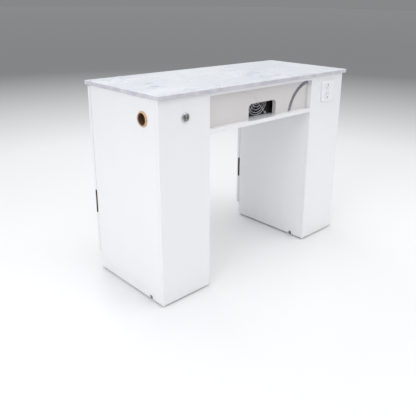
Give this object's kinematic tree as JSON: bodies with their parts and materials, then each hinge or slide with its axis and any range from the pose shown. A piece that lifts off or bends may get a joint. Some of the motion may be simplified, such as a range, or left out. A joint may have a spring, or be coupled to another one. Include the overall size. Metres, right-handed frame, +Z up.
{
  "type": "manicure table",
  "caption": "Manicure table with a marble top on two cupboard pedestals, a bridge with a hand opening and fan, rear doors and a rear drawer.",
  "frame": {"origin": "on the floor, under the centre of the marble top", "axes": "+X along the table's length, +Z up, the client sits on the -Y side, and the doors and the drawer open towards +Y"},
  "size_m": [1.047, 0.442, 0.762],
  "materials": {
    "marble": "polished white marble with faint blue-grey veins",
    "white_board": "fibreboard with a white gloss finish, raw brown inside the finger pulls",
    "white_liner": "thin white-faced fibreboard",
    "fascia_gloss": "fibreboard with a warm grey gloss face",
    "inlay_metal": "satin grey metal strip",
    "plated_steel": "zinc-plated steel",
    "runner_steel": "bright zinc-plated sheet steel",
    "chrome": "polished chrome plate",
    "switch_face": "spun steel, darker than its ring",
    "black_board": "thin fibreboard with a black face",
    "fan_black": "satin black paint on cast metal",
    "black_plastic": "moulded black plastic",
    "grey_plastic": "moulded grey plastic",
    "white_plastic": "moulded white plastic",
    "socket_plastic": "moulded white plastic, a little cooler than the plate",
    "tan_plastic": "moulded tan plastic"
  },
  "bodies": {
    "carcass": {"marble_top": "marble", "left_outer_side": "white_board", "left_inner_side": "white_board", "left_front_panel": "white_board", "left_bottom_panel": "white_board", "left_plinth": "white_board", "left_top_panel": "white_board", "left_lower_shelf": "white_board", "left_upper_shelf": "white_board", "left_pivot_plates": "plated_steel", "left_pivot_pins": "plated_steel", "left_door_catch": "white_plastic", "right_inner_side": "white_board", "right_outer_side": "white_board", "right_front_panel": "white_board", "right_bottom_panel": "white_board", "right_plinth": "white_board", "right_top_panel": "white_board", "right_lower_shelf": "white_board", "right_upper_shelf": "white_board", "right_pivot_plates": "plated_steel", "right_pivot_pins": "plated_steel", "right_door_catch": "white_plastic", "shelf_pins": "plated_steel", "floor_glides": "grey_plastic", "cam_discs": "plated_steel", "cam_bolts": "plated_steel", "pivot_screws": "plated_steel", "bridge_shelf": "white_board", "bridge_top_board": "white_board", "fascia_panel": "fascia_gloss", "fascia_inlay": "inlay_metal", "drawer_rails": "runner_steel", "fan_frame": "fan_black", "fan_guard": "chrome", "fan_screws": "plated_steel", "fan_board": "black_board", "switch_ring": "chrome", "switch_nut": "plated_steel", "switch_block": "black_plastic", "outlet_plate": "white_plastic", "outlet_sockets": "socket_plastic", "outlet_box": "grey_plastic", "outlet_screws": "plated_steel", "side_grommet": "tan_plastic"},
    "left_door": {"left_door": "white_board", "left_door_pivot_plates": "plated_steel", "left_catch_strike": "plated_steel"},
    "right_door": {"right_door": "white_board", "right_door_pivot_plates": "plated_steel", "right_catch_strike": "plated_steel"},
    "drawer": {"drawer_front": "white_board", "drawer_left_side": "white_board", "drawer_right_side": "white_board", "drawer_back": "white_board", "drawer_bottom": "white_liner", "drawer_slides": "runner_steel"},
    "fan_rotor": {"fan_rotor": "black_plastic"},
    "switch_button": {"switch_button": "switch_face"}
  },
  "joints": [
    {"name": "left_door_pivot", "type": "hinge", "parent": "carcass", "child": "left_door", "pos_m": [-0.3005, 0.2073, 0.404], "axis": [0, 0, -1], "range_deg": [0, 90]},
    {"name": "right_door_pivot", "type": "hinge", "parent": "carcass", "child": "right_door", "pos_m": [0.5025, 0.2073, 0.404], "axis": [0, 0, -1], "range_deg": [0, 90]},
    {"name": "drawer_slide", "type": "slide", "parent": "carcass", "child": "drawer", "axis": [0, 1, 0], "range_m": [0, 0.21]},
    {"name": "fan_spin", "type": "hinge", "parent": "carcass", "child": "fan_rotor", "pos_m": [0.004, -0.132, 0.6745], "axis": [0, 1, 0], "continuous": true},
    {"name": "switch_press", "type": "slide", "parent": "carcass", "child": "switch_button", "axis": [0, 1, 0], "range_m": [0, 0.0025], "stiffness_N_per_m": 800, "springref_m": -0.001}
  ]
}
